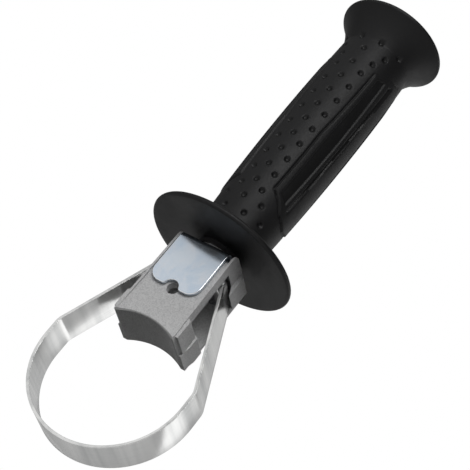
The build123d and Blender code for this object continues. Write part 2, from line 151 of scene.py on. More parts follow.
def between(tree, value, span, result=(0.0, 1.0)):
    node = tree.nodes.new("ShaderNodeMapRange")
    node.interpolation_type = "SMOOTHSTEP"
    tree.links.new(value, node.inputs["Value"])
    for key, number in zip(("From Min", "From Max", "To Min", "To Max"), (*span, *result)):
        node.inputs[key].default_value = number
    return node.outputs["Result"]


def blendColours(tree, factor, first, second):
    node = tree.nodes.new("ShaderNodeMix")
    node.data_type = "RGBA"
    tree.links.new(factor, node.inputs["Factor"])
    for plug, value in ((node.inputs[6], first), (node.inputs[7], second)):
        if isinstance(value, bpy.types.NodeSocket):
            tree.links.new(value, plug)
        else:
            plug.default_value = (*value, 1)
    return node.outputs[2]


def newGroup(name, inputs, outputs):
    group = bpy.data.node_groups.new(name, "ShaderNodeTree")
    for label, kind, start in inputs:
        plug = group.interface.new_socket(label, in_out="INPUT", socket_type=kind)
        if start is not None:
            plug.default_value = start
    for label, kind in outputs:
        group.interface.new_socket(label, in_out="OUTPUT", socket_type=kind)
    entry = group.nodes.new("NodeGroupInput").outputs
    leave = group.nodes.new("NodeGroupOutput").inputs
    return group, entry, leave


def useGroup(tree, group, **inputs):
    node = tree.nodes.new("ShaderNodeGroup")
    node.node_tree = group
    for key, value in inputs.items():
        plug = node.inputs[key]
        if isinstance(value, bpy.types.NodeSocket):
            tree.links.new(value, plug)
        else:
            plug.default_value = value
    return node.outputs


# Shader groups that several materials share

grainShape = {"detail": 4.0, "roughness": 0.65, "fineScale": 2.7, "fineShare": 0.35,
              "speckles": (0.55, 0.9), "heights": (0.4, 0.9)}
smudgeShape = {"detail": 5.0, "roughness": 0.6, "distortion": 0.6, "edge": (-0.12, 0.22)}
edgeShape = {"detail": 3.0, "ragged": 0.08, "ramp": (0.0, 0.1)}
brushShape = {"detail": 3.0, "roughness": 0.7, "lines": (0.35, 0.7)}


def makeGrainGroup():
    group, entry, leave = newGroup(
        "fineGrain",
        [("Place", "NodeSocketVector", None), ("Scale", "NodeSocketFloat", 2000.0)],
        [("Height", "NodeSocketFloat"), ("Speckle", "NodeSocketFloat")],
    )
    coarse = addNode(
        group, "ShaderNodeTexNoise", Vector=entry["Place"], Scale=entry["Scale"],
        Detail=grainShape["detail"], Roughness=grainShape["roughness"],
    )
    fineScale = calc(group, "MULTIPLY", entry["Scale"], grainShape["fineScale"])
    fine = addNode(group, "ShaderNodeTexVoronoi", Vector=entry["Place"], Scale=fineScale)
    pits = calc(group, "MULTIPLY", fine.outputs["Distance"], grainShape["fineShare"])
    both = calc(group, "ADD", coarse.outputs["Fac"], pits)
    group.links.new(both, leave["Height"])
    group.links.new(between(group, both, grainShape["speckles"]), leave["Speckle"])
    return group


def makeSmudgeGroup():
    group, entry, leave = newGroup(
        "softSmudges",
        [("Place", "NodeSocketVector", None), ("Scale", "NodeSocketFloat", 60.0),
         ("Cover", "NodeSocketFloat", 0.5)],
        [("Mask", "NodeSocketFloat")],
    )
    cloud = addNode(
        group, "ShaderNodeTexNoise", Vector=entry["Place"], Scale=entry["Scale"],
        Detail=smudgeShape["detail"], Roughness=smudgeShape["roughness"],
        Distortion=smudgeShape["distortion"],
    )
    start = calc(group, "SUBTRACT", 1.0, entry["Cover"])
    lifted = calc(group, "SUBTRACT", cloud.outputs["Fac"], start)
    group.links.new(between(group, lifted, smudgeShape["edge"]), leave["Mask"])
    return group


def makeEdgeGroup():
    group, entry, leave = newGroup(
        "edgeWear",
        [("Place", "NodeSocketVector", None), ("Scale", "NodeSocketFloat", 400.0),
         ("Edge", "NodeSocketFloat", 0.5), ("Reach", "NodeSocketFloat", 0.56)],
        [("Mask", "NodeSocketFloat")],
    )
    chips = addNode(
        group, "ShaderNodeTexNoise", Vector=entry["Place"], Scale=entry["Scale"], Detail=edgeShape["detail"]
    )
    uneven = calc(group, "SUBTRACT", chips.outputs["Fac"], 0.5)
    sharp = calc(group, "ADD", entry["Edge"], calc(group, "MULTIPLY", uneven, edgeShape["ragged"]))
    lifted = calc(group, "SUBTRACT", sharp, entry["Reach"])
    group.links.new(between(group, lifted, edgeShape["ramp"]), leave["Mask"])
    return group


def makeBrushGroup():
    group, entry, leave = newGroup(
        "brushLines",
        [("Place", "NodeSocketVector", None), ("Stretch", "NodeSocketVector", (1.0, 1.0, 1.0))],
        [("Height", "NodeSocketFloat"), ("Mask", "NodeSocketFloat")],
    )
    mapping = addNode(group, "ShaderNodeMapping", Vector=entry["Place"], Scale=entry["Stretch"])
    lines = addNode(
        group, "ShaderNodeTexNoise", Vector=mapping.outputs[0], Scale=1.0,
        Detail=brushShape["detail"], Roughness=brushShape["roughness"],
    )
    group.links.new(lines.outputs["Fac"], leave["Height"])
    group.links.new(between(group, lines.outputs["Fac"], brushShape["lines"]), leave["Mask"])
    return group


grainGroup = makeGrainGroup()
smudgeGroup = makeSmudgeGroup()
edgeGroup = makeEdgeGroup()
brushGroup = makeBrushGroup()


def grainOn(tree, place, scale):
    return useGroup(tree, grainGroup, Place=place, Scale=scale)


def smudgesOn(tree, place, scale, cover):
    return useGroup(tree, smudgeGroup, Place=place, Scale=scale, Cover=cover)["Mask"]


def linesOn(tree, place, stretch):
    return useGroup(tree, brushGroup, Place=place, Stretch=stretch)


metalEdges = {"scale": 900.0, "sharpness": 0.1, "reach": 0.02}     # of the casting and the plate: worn bright metal and a painted highlight on their outer edges


def wearAndHighlightEdge(tree, place):
    worn = addNode(tree, "ShaderNodeAttribute", {"attribute_name": "worn"}).outputs["Fac"]
    edge = calc(tree, "MULTIPLY", worn, metalEdges["sharpness"])
    return useGroup(
        tree, edgeGroup, Place=place, Scale=metalEdges["scale"], Edge=edge, Reach=metalEdges["reach"]
    )["Mask"]


def startMaterial(name, **plain):
    material = bpy.data.materials.new(name)
    material.use_nodes = True
    tree = material.node_tree
    shader = tree.nodes["Principled BSDF"]
    for key, value in plain.items():
        shader.inputs[key.replace("_", " ")].default_value = value
    place = tree.nodes.new("ShaderNodeTexCoord").outputs["Object"]
    return material, tree, shader, place


def connect(tree, value, shader, plug):
    tree.links.new(value, shader.inputs[plug])


def bumpFrom(tree, shader, height, strength, depth):
    bump = addNode(tree, "ShaderNodeBump", Height=height, Strength=strength, Distance=depth)
    connect(tree, bump.outputs["Normal"], shader, "Normal")


# Materials. Smudges, stains, film, patches, clouds and dust are a scale and a cover from 0 to 1, and a
# bump is a strength and a depth

rubberLook = {
    "dark": (0.006, 0.006, 0.0065),
    "worn": (0.014, 0.014, 0.015),
    "hollowShade": (0.003, 0.003, 0.0032),     # painted shade in dimples, recesses, grooves and the crease
    "specular": 0.28,
    "grain": 2600.0,
    "bump": (0.35, 0.18 * mm),
    "rough": (0.38, 0.48),
    "smudges": (55.0, 0.5),
    "smudgeWear": 0.35,
    "smudgeRough": 0.1,
    "edgeScale": 500.0,
    "edgeReach": 0.53,
    "edgeWear": 0.8,
    "hollowGloss": 0.15,
}


def makeRubber():
    look = rubberLook
    material, tree, shader, place = startMaterial("gripRubber", Specular_IOR_Level=look["specular"])
    grain = grainOn(tree, place, look["grain"])
    smudge = smudgesOn(tree, place, *look["smudges"])
    bent = tree.nodes.new("ShaderNodeNewGeometry").outputs["Pointiness"]
    edge = useGroup(
        tree, edgeGroup, Place=place, Scale=look["edgeScale"], Edge=bent, Reach=look["edgeReach"]
    )
    rubbed = calc(tree, "MULTIPLY", smudge, look["smudgeWear"])
    worn = calc(tree, "ADD", rubbed, calc(tree, "MULTIPLY", edge["Mask"], look["edgeWear"]), clamp=True)
    # painted shade: this mask darkens the dimples' walls, the recess, the groove and the crease, and makes
    # them a little glossier
    hollowShade = addNode(tree, "ShaderNodeAttribute", {"attribute_name": "hollowShade"}).outputs["Fac"]
    surface = blendColours(tree, worn, look["dark"], look["worn"])
    connect(tree, blendColours(tree, hollowShade, surface, look["hollowShade"]), shader, "Base Color")
    grained = between(tree, grain["Height"], grainShape["heights"], look["rough"])
    rough = calc(tree, "ADD", calc(tree, "MULTIPLY", smudge, look["smudgeRough"]), grained)
    gloss = calc(tree, "MULTIPLY", hollowShade, look["hollowGloss"])
    connect(tree, calc(tree, "SUBTRACT", rough, gloss), shader, "Roughness")
    bumpFrom(tree, shader, grain["Height"], *look["bump"])
    return material


castLook = {
    "pale": (0.74, 0.74, 0.74),
    "dull": (0.40, 0.40, 0.405),
    "edgeWearAndHighlight": (0.85, 0.85, 0.84),          # worn metal and a painted highlight on outer edges
    "specular": 0.2,
    "grain": 1700.0,
    "bump": (0.6, 0.16 * mm),
    "rough": (0.5, 0.66),
    "stains": (130.0, 0.52),
    "stainShare": 0.1,
    "speckShare": 0.6,
    "metallic": 0.05,
    "edgeMetallic": 0.75,
    "edgeGloss": 0.2,
}


def makeCasting():
    look = castLook
    material, tree, shader, place = startMaterial("castAluminium", Specular_IOR_Level=look["specular"])
    grain = grainOn(tree, place, look["grain"])
    flow = smudgesOn(tree, place, *look["stains"])
    edge = wearAndHighlightEdge(tree, place)
    stain = calc(tree, "MULTIPLY", flow, look["stainShare"])
    speck = calc(tree, "MULTIPLY", grain["Speckle"], look["speckShare"])
    dull = blendColours(tree, calc(tree, "ADD", stain, speck, clamp=True), look["pale"], look["dull"])
    connect(tree, blendColours(tree, edge, dull, look["edgeWearAndHighlight"]), shader, "Base Color")
    bare = calc(tree, "MULTIPLY", edge, look["edgeMetallic"])
    connect(tree, calc(tree, "ADD", bare, look["metallic"]), shader, "Metallic")
    grained = between(tree, grain["Height"], grainShape["heights"], look["rough"])
    rough = calc(tree, "SUBTRACT", grained, calc(tree, "MULTIPLY", edge, look["edgeGloss"]))
    connect(tree, rough, shader, "Roughness")
    bumpFrom(tree, shader, grain["Height"], *look["bump"])
    return material


zincLook = {
    "plain": (0.66, 0.72, 0.79),
    "blue": (0.58, 0.68, 0.80),
    "warm": (0.80, 0.76, 0.74),
    # worn metal and a painted highlight on the plate's outer edges
    "edge": (0.93, 0.95, 0.97),
    "film": (85.0, 0.5),
    "filmRough": 0.05,
    "patches": (170.0, 0.42),
    "patchShare": 0.35,
    "rolled": (5200.0, 400.0, 240.0),
    "rolledSpan": (0.3, 0.75),
    "rough": (0.12, 0.15),
}


def makeZinc():
    look = zincLook
    material, tree, shader, place = startMaterial("brightZinc", Metallic=1.0)
    film = smudgesOn(tree, place, *look["film"])
    patch = smudgesOn(tree, place, *look["patches"])
    rolled = linesOn(tree, place, look["rolled"])
    tint = blendColours(tree, film, look["plain"], look["blue"])
    face = blendColours(tree, calc(tree, "MULTIPLY", patch, look["patchShare"]), tint, look["warm"])
    # the edge colour is wear and a painted highlight
    connect(tree, blendColours(tree, wearAndHighlightEdge(tree, place), face, look["edge"]), shader, "Base Color")
    lined = between(tree, rolled["Height"], look["rolledSpan"], look["rough"])
    rough = calc(tree, "ADD", lined, calc(tree, "MULTIPLY", film, look["filmRough"]))
    connect(tree, rough, shader, "Roughness")
    return material


stripLook = {
    "bright": (0.86, 0.86, 0.85),
    "dull": (0.52, 0.53, 0.53),
    "rolled": (60.0, 4200.0, 60.0),
    "rolledSpan": (0.3, 0.7),
    "rolledShare": 0.2,
    "streaks": (95.0, 6.0, 95.0),
    "streakShare": 0.7,
    "clouds": (45.0, 0.48),
    "cloudRough": 0.05,
    "rough": (0.15, 0.2),
    "bump": (0.12, 0.004 * mm),
}


def makeStrip():
    look = stripLook
    material, tree, shader, place = startMaterial("springSteel", Metallic=1.0)
    rolled = linesOn(tree, place, look["rolled"])
    across = linesOn(tree, place, look["streaks"])["Mask"]
    cloudy = smudgesOn(tree, place, *look["clouds"])
    along = calc(tree, "MULTIPLY", rolled["Mask"], look["rolledShare"])
    dull = calc(tree, "ADD", along, calc(tree, "MULTIPLY", across, look["streakShare"]))
    connect(tree, blendColours(tree, dull, look["bright"], look["dull"]), shader, "Base Color")
    lined = between(tree, rolled["Height"], look["rolledSpan"], look["rough"])
    rough = calc(tree, "ADD", lined, calc(tree, "MULTIPLY", cloudy, look["cloudRough"]))
    connect(tree, rough, shader, "Roughness")
    bumpFrom(tree, shader, rolled["Height"], *look["bump"])
    return material


fastenerLook = {
    "bright": (0.62, 0.63, 0.65),
    "dull": (0.42, 0.42, 0.41),
    "grain": 2200.0,
    "stains": (150.0, 0.5),
    "rough": (0.26, 0.42),
    "bump": (0.25, 0.02 * mm),
}


def makeFastener():
    look = fastenerLook
    material, tree, shader, place = startMaterial("platedSteel", Metallic=1.0)
    grain = grainOn(tree, place, look["grain"])
    stain = smudgesOn(tree, place, *look["stains"])
    connect(tree, blendColours(tree, stain, look["bright"], look["dull"]), shader, "Base Color")
    connect(tree, between(tree, grain["Height"], grainShape["heights"], look["rough"]), shader, "Roughness")
    bumpFrom(tree, shader, grain["Height"], *look["bump"])
    return material


coreLook = {
    "dark": (0.012, 0.012, 0.013),
    "dusty": (0.03, 0.03, 0.03),
    "specular": 0.4,
    "grain": 1800.0,
    "dust": (90.0, 0.45),
    "dustShare": 0.5,
    "rough": (0.42, 0.6),
    "bump": (0.25, 0.05 * mm),
}


def makeCorePlastic():
    look = coreLook
    material, tree, shader, place = startMaterial("corePlastic", Specular_IOR_Level=look["specular"])
    grain = grainOn(tree, place, look["grain"])
    dust = calc(tree, "MULTIPLY", smudgesOn(tree, place, *look["dust"]), look["dustShare"])
    connect(tree, blendColours(tree, dust, look["dark"], look["dusty"]), shader, "Base Color")
    connect(tree, between(tree, grain["Height"], grainShape["heights"], look["rough"]), shader, "Roughness")
    bumpFrom(tree, shader, grain["Height"], *look["bump"])
    return material


materials = {
    "rubber": makeRubber(),
    "casting": makeCasting(),
    "zinc": makeZinc(),
    "strip": makeStrip(),
    "fastener": makeFastener(),
    "core": makeCorePlastic(),
}
print("materials ready:", ", ".join(materials))


# Camera at the photograph's angle

cameraSetup = {
    "position": (0.26065, -0.46294, -0.16803),
    "aim": (-0.00061, 0.00087, 0.08275),
    "roll": 39.20,
    "lens": 112.88,
    "clipStart": 0.01,
}


def makeCamera():
    place, aim = Vector(cameraSetup["position"]), Vector(cameraSetup["aim"])
    data = bpy.data.cameras.new("handleCamera")
    data.lens = cameraSetup["lens"]
    data.clip_start = cameraSetup["clipStart"]
    camera = bpy.data.objects.new("handleCamera", data)
    bpy.context.scene.collection.objects.link(camera)
    camera.location = place
    camera.rotation_mode = "QUATERNION"
    level = (aim - place).to_track_quat("-Z", "Y")
    camera.rotation_quaternion = level @ Quaternion((0, 0, 1), radians(cameraSetup["roll"]))
    bpy.context.scene.camera = camera


makeCamera()
print("camera placed")


# Grip: rubber moulding with flange, barrel, side panels, dimples and flared end

grip = {
    "flangeThickness": 2.4 * mm,
    "rimDepth": 1.15 * mm,
    "rootFillet": 2.4 * mm,
    "rootRadius": 14.6 * mm,
    "rootHeight": 4.0 * mm,       # heights are above the flange's upper face
    "bellyRadius": 16.75 * mm,
    "bellyHeight": 75.0 * mm,
    "neckRadius": 15.9 * mm,
    "neckHeight": 112.6 * mm,
    "flareRadius": 24.15 * mm,
    "flareHeight": 126.0 * mm,
    "flareSag": 0.85 * mm,
    "flareRim": 1.5 * mm,
    "flareLip": 0.55 * mm,
    "capDome": 1.6 * mm,
    "coreRadius": 11.6 * mm,
    "collarRadius": 10.0 * mm,
    "coreEdge": 1.0 * mm,
    "coreTop": 186.0 * mm,
    "steps": 288,                 # mesh columns round it
    "barrelRow": 0.43 * mm,       # mesh rows
    "flangeRow": 3.2 * mm,
    "rimRow": 0.267 * mm,
    "filletRow": 0.4 * mm,
    "rootRow": 0.8 * mm,
    "flareRow": 0.64 * mm,
    "capRow": 1.6 * mm,
    "reliefEnd": 4.0 * mm,        # panels and dimples reach this far above the neck,
    "reliefSkin": 1.0 * mm,       # and only the skin this far outside the core is moved
    "smoothAngle": 50,
}

# Outlines are drawn on the side view, in mm from its middle and mm above the flange. The recess, here
# called the band, and the groove have three stations each: their two edges and the height
panel = {
    "relief": 0.45 * mm,
    "step": 0.5 * mm,             # width of the rise to the panel
    "creaseWidth": 0.5 * mm,      # half width of the crease round the panel
    "creaseDepth": 0.36 * mm,
    "creaseShade": 0.6,
    "leastCosine": 0.5,           # limits how far a width on the side view is stretched round the barrel
    "ends": [(0.0, 18.4), (7.5, 21.0), (7.0, 102.9), (0.0, 105.5)],
    "flanks": [(13.7, 27.5), (14.2, 60.0), (12.8, 98.5)],
    "band": [(-11.8, -8.2, 27.8), (-12.4, -7.8, 62.0), (-11.1, -7.9, 99.5)],
    "bandDepth": 0.7 * mm,
    "groove": [(-6.8, -4.8, 25.5), (-6.0, -4.3, 62.0), (-5.8, -3.1, 101.5)],
    "grooveDepth": 0.8 * mm,
    "slant": 2.0,                 # mm by which a slot's ends slope
    "soft": 0.6 * mm,             # width of the recesses' side walls
    "bandShade": 0.55,            # how smooth and how dark with painted shade the recess is, against 1 in the groove
    "fadeAcross": (3.0, 9.0),     # where the rise and the crease die out, across
    "fadeAlong": (94.0, 103.0),   # and along the handle
    "columns": (16.25, 21.25, 28.75, 46.25, 57.5),     # degrees from X of the columns led along the edges
}

# Angles are in degrees off the middle of the front and heights in mm above the flange
dimple = {
    "radius": 1.2 * mm,
    "depth": 0.95 * mm,
    "lip": 1.12,                  # how far round it the rubber is drawn in, as a share of the radius
    "shade": 0.8,                 # how smooth and how dark with painted shade its wall is
    "pitch": 8.85,
    "middleColumn": (0.0, 18.4, 11),     # angle, first height, how many
    "sideColumn": (18.4, 23.8, 9),
    "spread": 0.085,                     # degrees per mm by which the side columns part
    "spreadFrom": 50.0,
    "extras": [(28.0, 101.5), (38.0, 107.2), (17.3, 113.0), (54.0, 113.0),
               (33.0, 18.2), (18.0, 11.6), (49.0, 12.0)],
}


def circleThrough(a, b, c):
    ax, ay, bx, by, cx, cy = *a, *b, *c
    d = 2 * (ax * (by - cy) + bx * (cy - ay) + cx * (ay - by))
    a2, b2, c2 = ax * ax + ay * ay, bx * bx + by * by, cx * cx + cy * cy
    x = (a2 * (by - cy) + b2 * (cy - ay) + c2 * (ay - by)) / d
    y = (a2 * (cx - bx) + b2 * (ax - cx) + c2 * (bx - ax)) / d
    return x, y


def arcPoints(a, b, c, row, fewest=4):
    x, y = circleThrough(a, b, c)
    radius = sqrt((a[0] - x) ** 2 + (a[1] - y) ** 2)
    angles = [atan2(p[1] - y, p[0] - x) for p in (a, b, c)]
    sweep = (angles[2] - angles[0]) % tau
    if (angles[1] - angles[0]) % tau > sweep:
        sweep -= tau
    count = max(fewest, round(abs(sweep) * radius / row))
    return [
        (x + radius * cos(angles[0] + sweep * k / count), y + radius * sin(angles[0] + sweep * k / count))
        for k in range(1, count + 1)
    ]


def straightPoints(a, b, row):
    count = max(1, round(sqrt((b[0] - a[0]) ** 2 + (b[1] - a[1]) ** 2) / row))
    return [
        (a[0] + (b[0] - a[0]) * k / count, a[1] + (b[1] - a[1]) * k / count)
        for k in range(1, count + 1)
    ]


def gripProfile():
    low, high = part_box("grip_sleeve")
    g, under = grip, low.z
    top = under + g["flangeThickness"]
    rim = high.x - g["rimDepth"]
    neckZ = top + g["neckHeight"]
    lip = (g["flareRadius"] - g["flareLip"], top + g["flareHeight"] - g["flareLip"])
    brim = (lip[0], top + g["flareHeight"] + g["flareRim"])
    neck = (g["neckRadius"], neckZ)
    chord = (lip[0] - neck[0], lip[1] - neck[1])
    length = sqrt(chord[0] ** 2 + chord[1] ** 2)
    sag = (
        (lip[0] + neck[0]) / 2 - g["flareSag"] * chord[1] / length,
        (lip[1] + neck[1]) / 2 + g["flareSag"] * chord[0] / length,
    )
    dome = (brim[0] ** 2 + g["capDome"] ** 2) / (2 * g["capDome"])
    half = asin(brim[0] / dome) / 2
    crown = (0, brim[1] + g["capDome"])
    foot = (g["rootRadius"] + g["rootFillet"], top)
    heel = (g["rootRadius"], top + g["rootFillet"])
    inset = g["rootFillet"] * (1 - sin(radians(45)))
    footMid = (g["rootRadius"] + inset, top + inset)
    points = [(0, g["coreTop"]), (g["coreRadius"] - g["coreEdge"], g["coreTop"])]
    points += [(g["coreRadius"], g["coreTop"] - g["coreEdge"]), (g["coreRadius"], top + g["coreEdge"])]
    points += [(g["collarRadius"], top), (g["collarRadius"], under)]
    points += straightPoints(points[-1], (rim, under), g["flangeRow"])
    points += arcPoints((rim, under), (high.x, (under + top) / 2), (rim, top), g["rimRow"])
    points += straightPoints((rim, top), foot, g["flangeRow"])
    points += arcPoints(foot, footMid, heel, g["filletRow"])
    points += straightPoints(heel, (g["rootRadius"], top + g["rootHeight"]), g["rootRow"])
    points += arcPoints(points[-1], (g["bellyRadius"], top + g["bellyHeight"]), neck, g["barrelRow"])
    points += arcPoints(neck, sag, lip, g["flareRow"])
    points += arcPoints(lip, (g["flareRadius"], (lip[1] + brim[1]) / 2), brim, g["rimRow"])
    points += arcPoints(brim, (dome * sin(half), crown[1] - dome * (1 - cos(half))), crown, g["capRow"])
    return points, top


def risen(value, span):
    share = min(1.0, max(0.0, (value - span[0]) / (span[1] - span[0])))
    return share * share * (3 - 2 * share)


def stepDown(value, width):
    return risen(-value, (-width / 2, width / 2))


# How far a point lies outside a convex outline, below 0 when it is inside
def edgeDistance(point, corners):
    reach = -1.0
    for a, b in zip(corners, corners[1:]):
        run, rise = b[0] - a[0], b[1] - a[1]
        length = sqrt(run * run + rise * rise)
        reach = max(reach, ((point[0] - a[0]) * rise - (point[1] - a[1]) * run) / length)
    return reach


def slotCorners(stations):
    low, middle, high = stations
    slant = panel["slant"]
    ring = [
        (low[0], low[2]), (low[1], low[2] - slant), (middle[1], middle[2]),
        (high[1], high[2]), (high[0], high[2] - slant), (middle[0], middle[2]), (low[0], low[2]),
    ]
    return [(y * mm, z * mm) for y, z in ring]


bandCorners = slotCorners(panel["band"])
grooveCorners = slotCorners(panel["groove"])
rimCorners = [(y * mm, z * mm) for y, z in panel["ends"][:2] + panel["flanks"] + panel["ends"][2:]]


def panelRelief(radius, side, height):
    point = (radius * sin(side), height)
    outside = edgeDistance(point, rimCorners) / max(panel["leastCosine"], cos(side))
    held = 1 - risen(point[0] / mm, panel["fadeAcross"]) * risen(height / mm, panel["fadeAlong"])
    relief = panel["relief"] * held * stepDown(outside + panel["step"], panel["step"])
    crease = held * max(0.0, 1 - (outside / panel["creaseWidth"]) ** 2)
    relief -= panel["creaseDepth"] * crease
    mirrored = (-point[0], height)
    band = stepDown(edgeDistance(mirrored, bandCorners), panel["soft"])
    groove = stepDown(edgeDistance(mirrored, grooveCorners), panel["soft"])
    # smooth is a mask of painted shade in the recess, the groove and the crease, which also makes them
    # smoother
    smooth = max(panel["bandShade"] * (2 * band - 1), 2 * groove - 1, panel["creaseShade"] * crease, 0.0)
    return relief - panel["bandDepth"] * band - panel["grooveDepth"] * groove, smooth


def alongLine(line, level):
    for low, high in zip(line, line[1:]):
        if level <= high[1]:
            break
    share = min(1.0, max(0.0, (level - low[1]) / (high[1] - low[1])))
    return low[0] + (high[0] - low[0]) * share


# The edges that mesh columns follow, each with the column that is led along it
def panelLines():
    edges = [("groove", 1), ("groove", 0), ("band", 1), ("band", 0)]
    lines = [[(-station[side], station[2]) for station in panel[name]] for name, side in edges]
    return [(radians(column), line) for column, line in zip(panel["columns"], lines + [panel["flanks"]])]


ledColumns = panelLines()


# Turns a point round the barrel so that the columns run along the panel's edges and these stay straight
def ledAlong(radius, side, level):
    column = place = 0.0
    for nextColumn, line in ledColumns + [(tau / 4, None)]:
        nextPlace = asin(alongLine(line, level) * mm / radius) if line else tau / 4
        if side < nextColumn:
            return place + (side - column) * (nextPlace - place) / (nextColumn - column)
        column, place = nextColumn, nextPlace
    return side


def dimpleCentres():
    centres = []
    for angle, first, count in (dimple["middleColumn"], dimple["sideColumn"]):
        for height in (first + dimple["pitch"] * k for k in range(count)):
            parted = dimple["spread"] * max(0.0, height - dimple["spreadFrom"])
            centres.append((angle + parted if angle else angle, height))
    centres += dimple["extras"]
    mirrored = [(-angle, height) for angle, height in centres if angle > 0]
    return [(radians(angle), height * mm) for angle, height in centres + mirrored]


def dimpleDepth(radius, front, height, centres):
    deepest = wall = 0.0
    reach = dimple["radius"] * dimple["lip"]
    for angle, level in centres:
        if abs(height - level) < reach:
            away = ((radius * (front - angle)) ** 2 + (height - level) ** 2) / reach ** 2
            if away < 1:
                deepest = max(deepest, dimple["depth"] * (1 - away * sqrt(away)))
                wall = max(wall, 4 * away * (1 - away))     # 1 half way up the wall
    # the wall weight becomes painted shade on the dimple's wall
    return deepest, dimple["shade"] * wall


def makeGrip():
    points, top = gripProfile()
    piece = firstPoint("grip_moulding", (points[0][0], 0, points[0][1]))
    for a, b in zip(points, points[1:]):
        growTo((a[0], 0, a[1]), (b[0], 0, b[1]))
    bpy.ops.mesh.select_all(action="SELECT")
    bpy.ops.mesh.spin(steps=grip["steps"], angle=tau, center=(0, 0, 0), axis=(0, 0, 1))
    bpy.ops.mesh.select_all(action="SELECT")
    bpy.ops.mesh.remove_doubles(threshold=weldDistance)
    bpy.ops.mesh.normals_make_consistent(inside=False)
    objectMode()
    centres = dimpleCentres()
    lowest, highest = top + grip["rootHeight"], top + grip["neckHeight"] + grip["reliefEnd"]
    # mask of painted shade for the rubber's dimples, recess, groove and crease
    hollowShade = piece.data.attributes.new("hollowShade", "FLOAT", "POINT").data
    for vertex in piece.data.vertices:
        x, y, z = vertex.co
        radius = sqrt(x * x + y * y)
        if lowest < z < highest and radius > grip["coreRadius"] + grip["reliefSkin"]:
            height = z - top
            side = ledAlong(radius, atan2(abs(y), abs(x)), height / mm)
            x, y = copysign(radius * cos(side), x), copysign(radius * sin(side), y)
            relief, smooth = panelRelief(radius, side, height)
            depth, wall = dimpleDepth(radius, atan2(x, abs(y)), height, centres)
            relief -= depth
            hollowShade[vertex.index].value = max(smooth, wall)
            vertex.co = (x * (1 + relief / radius), y * (1 + relief / radius), z)
    piece.data.update()
    smoothByAngle(piece, grip["smoothAngle"])
    dress(piece, materials["rubber"], "grip_rubber", "grip", "grip_sleeve")
    print("grip moulded,", len(piece.data.polygons), "faces")


makeGrip()


# Clamp band: bent strip with an eye rolled at each end

strap = {
    "thickness": 1.25 * mm,
    "pinClearance": 0.03 * mm,
    "kinkHeight": 12.0 * mm,
    "kinkRadius": 6.0 * mm,
    "eyeWrap": 286.0,
    "eyeHalfWidth": 5.7 * mm,     # the strip is cut narrower where it is rolled
    "shoulderRadius": 3.6 * mm,
    "cutterDepth": 4.0 * mm,
    "cutterSides": 64,
    "loopSteps": 48,              # steps from the loop's bottom to its side
    "kinkSteps": 8,
    "eyeSteps": 44,
    "edgeRound": 0.16 * mm,
    "edgeSegments": 3,
    "sharp": 50,
    "smoothAngle": 35,
}


def shoulderCutter(x, y, z, outward):
    depth = strap["cutterDepth"]
    bpy.ops.object.select_all(action="DESELECT")
    bpy.ops.mesh.primitive_cylinder_add(
        vertices=strap["cutterSides"], radius=strap["shoulderRadius"], depth=depth,
        rotation=(radians(90), 0, 0), location=(x, y + outward * (strap["eyeHalfWidth"] + depth / 2), z),
    )
    return bpy.context.object


def makeStrap():
    low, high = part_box("clamp_band")
    pinLow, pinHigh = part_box("band_pin_right")
    half = strap["thickness"] / 2
    line = high.x - half                                  # centre line's radius and half width
    middle = low.z + high.x                               # height of the loop's centre
    pinX, pinZ = (pinLow.x + pinHigh.x) / 2, (pinLow.z + pinHigh.z) / 2
    eye = (pinHigh.x - pinLow.x) / 2 + strap["pinClearance"] + half
    run, rise = line - pinX, pinZ - strap["kinkHeight"]
    lean = atan2(run, rise) - asin(eye / sqrt(run * run + rise * rise))
    trim = strap["kinkRadius"] * tan(lean / 2)
    y = low.y
    bottom = (0, y, low.z + half)
    kinkStart = (line, y, strap["kinkHeight"] - trim)
    legStart = (line - trim * sin(lean), y, strap["kinkHeight"] + trim * cos(lean))
    touch = (pinX + eye * cos(lean), y, pinZ + eye * sin(lean))
    piece = firstPoint("clamp_strip", bottom)
    turnPoint((0, y, middle), (0, 1, 0), -radians(90), strap["loopSteps"])
    growTo((line, y, middle), kinkStart)
    turnPoint((line - strap["kinkRadius"], y, kinkStart[2]), (0, 1, 0), -lean, strap["kinkSteps"])
    growTo(legStart, touch)
    turnPoint((pinX, y, pinZ), (0, 1, 0), -radians(strap["eyeWrap"]), strap["eyeSteps"])
    objectMode()
    applyModifier(piece, "MIRROR", use_axis=(True, False, False), merge_threshold=weldDistance)
    editMode(piece)
    bpy.ops.mesh.select_all(action="SELECT")
    bpy.ops.mesh.extrude_region_move(TRANSFORM_OT_translate={"value": (0, high.y - low.y, 0)})
    bpy.ops.mesh.select_all(action="SELECT")
    bpy.ops.mesh.remove_doubles(threshold=weldDistance)
    bpy.ops.mesh.normals_make_consistent(inside=False)
    objectMode()
    applyModifier(piece, "SOLIDIFY", thickness=strap["thickness"], offset=0, use_even_offset=True)
    for side in (-1, 1):
        for outward in (-1, 1):
            cutter = shoulderCutter(side * pinX, (low.y + high.y) / 2, pinZ, outward)
            applyModifier(piece, "BOOLEAN", operation="DIFFERENCE", object=cutter, solver="EXACT")
            bpy.data.objects.remove(cutter)
    applyModifier(
        piece, "BEVEL", width=strap["edgeRound"], segments=strap["edgeSegments"],
        limit_method="ANGLE", angle_limit=radians(strap["sharp"]),
    )
    smoothByAngle(piece, strap["smoothAngle"])
    dress(piece, materials["strip"], "band_steel", "puller", "clamp_band")
    print("strap bent,", len(piece.data.polygons), "faces")


makeStrap()


# Pieces that keep the solid's shape, with their edges broken

castEdge = {"round": 0.25 * mm, "segments": 3, "sharp": 24}
plateEdge = {"round": 0.5 * mm, "segments": 4, "sharp": 40}
copyAngles = {"flat": 0.6, "smooth": 32}     # degrees: below the first, triangles are joined into one face


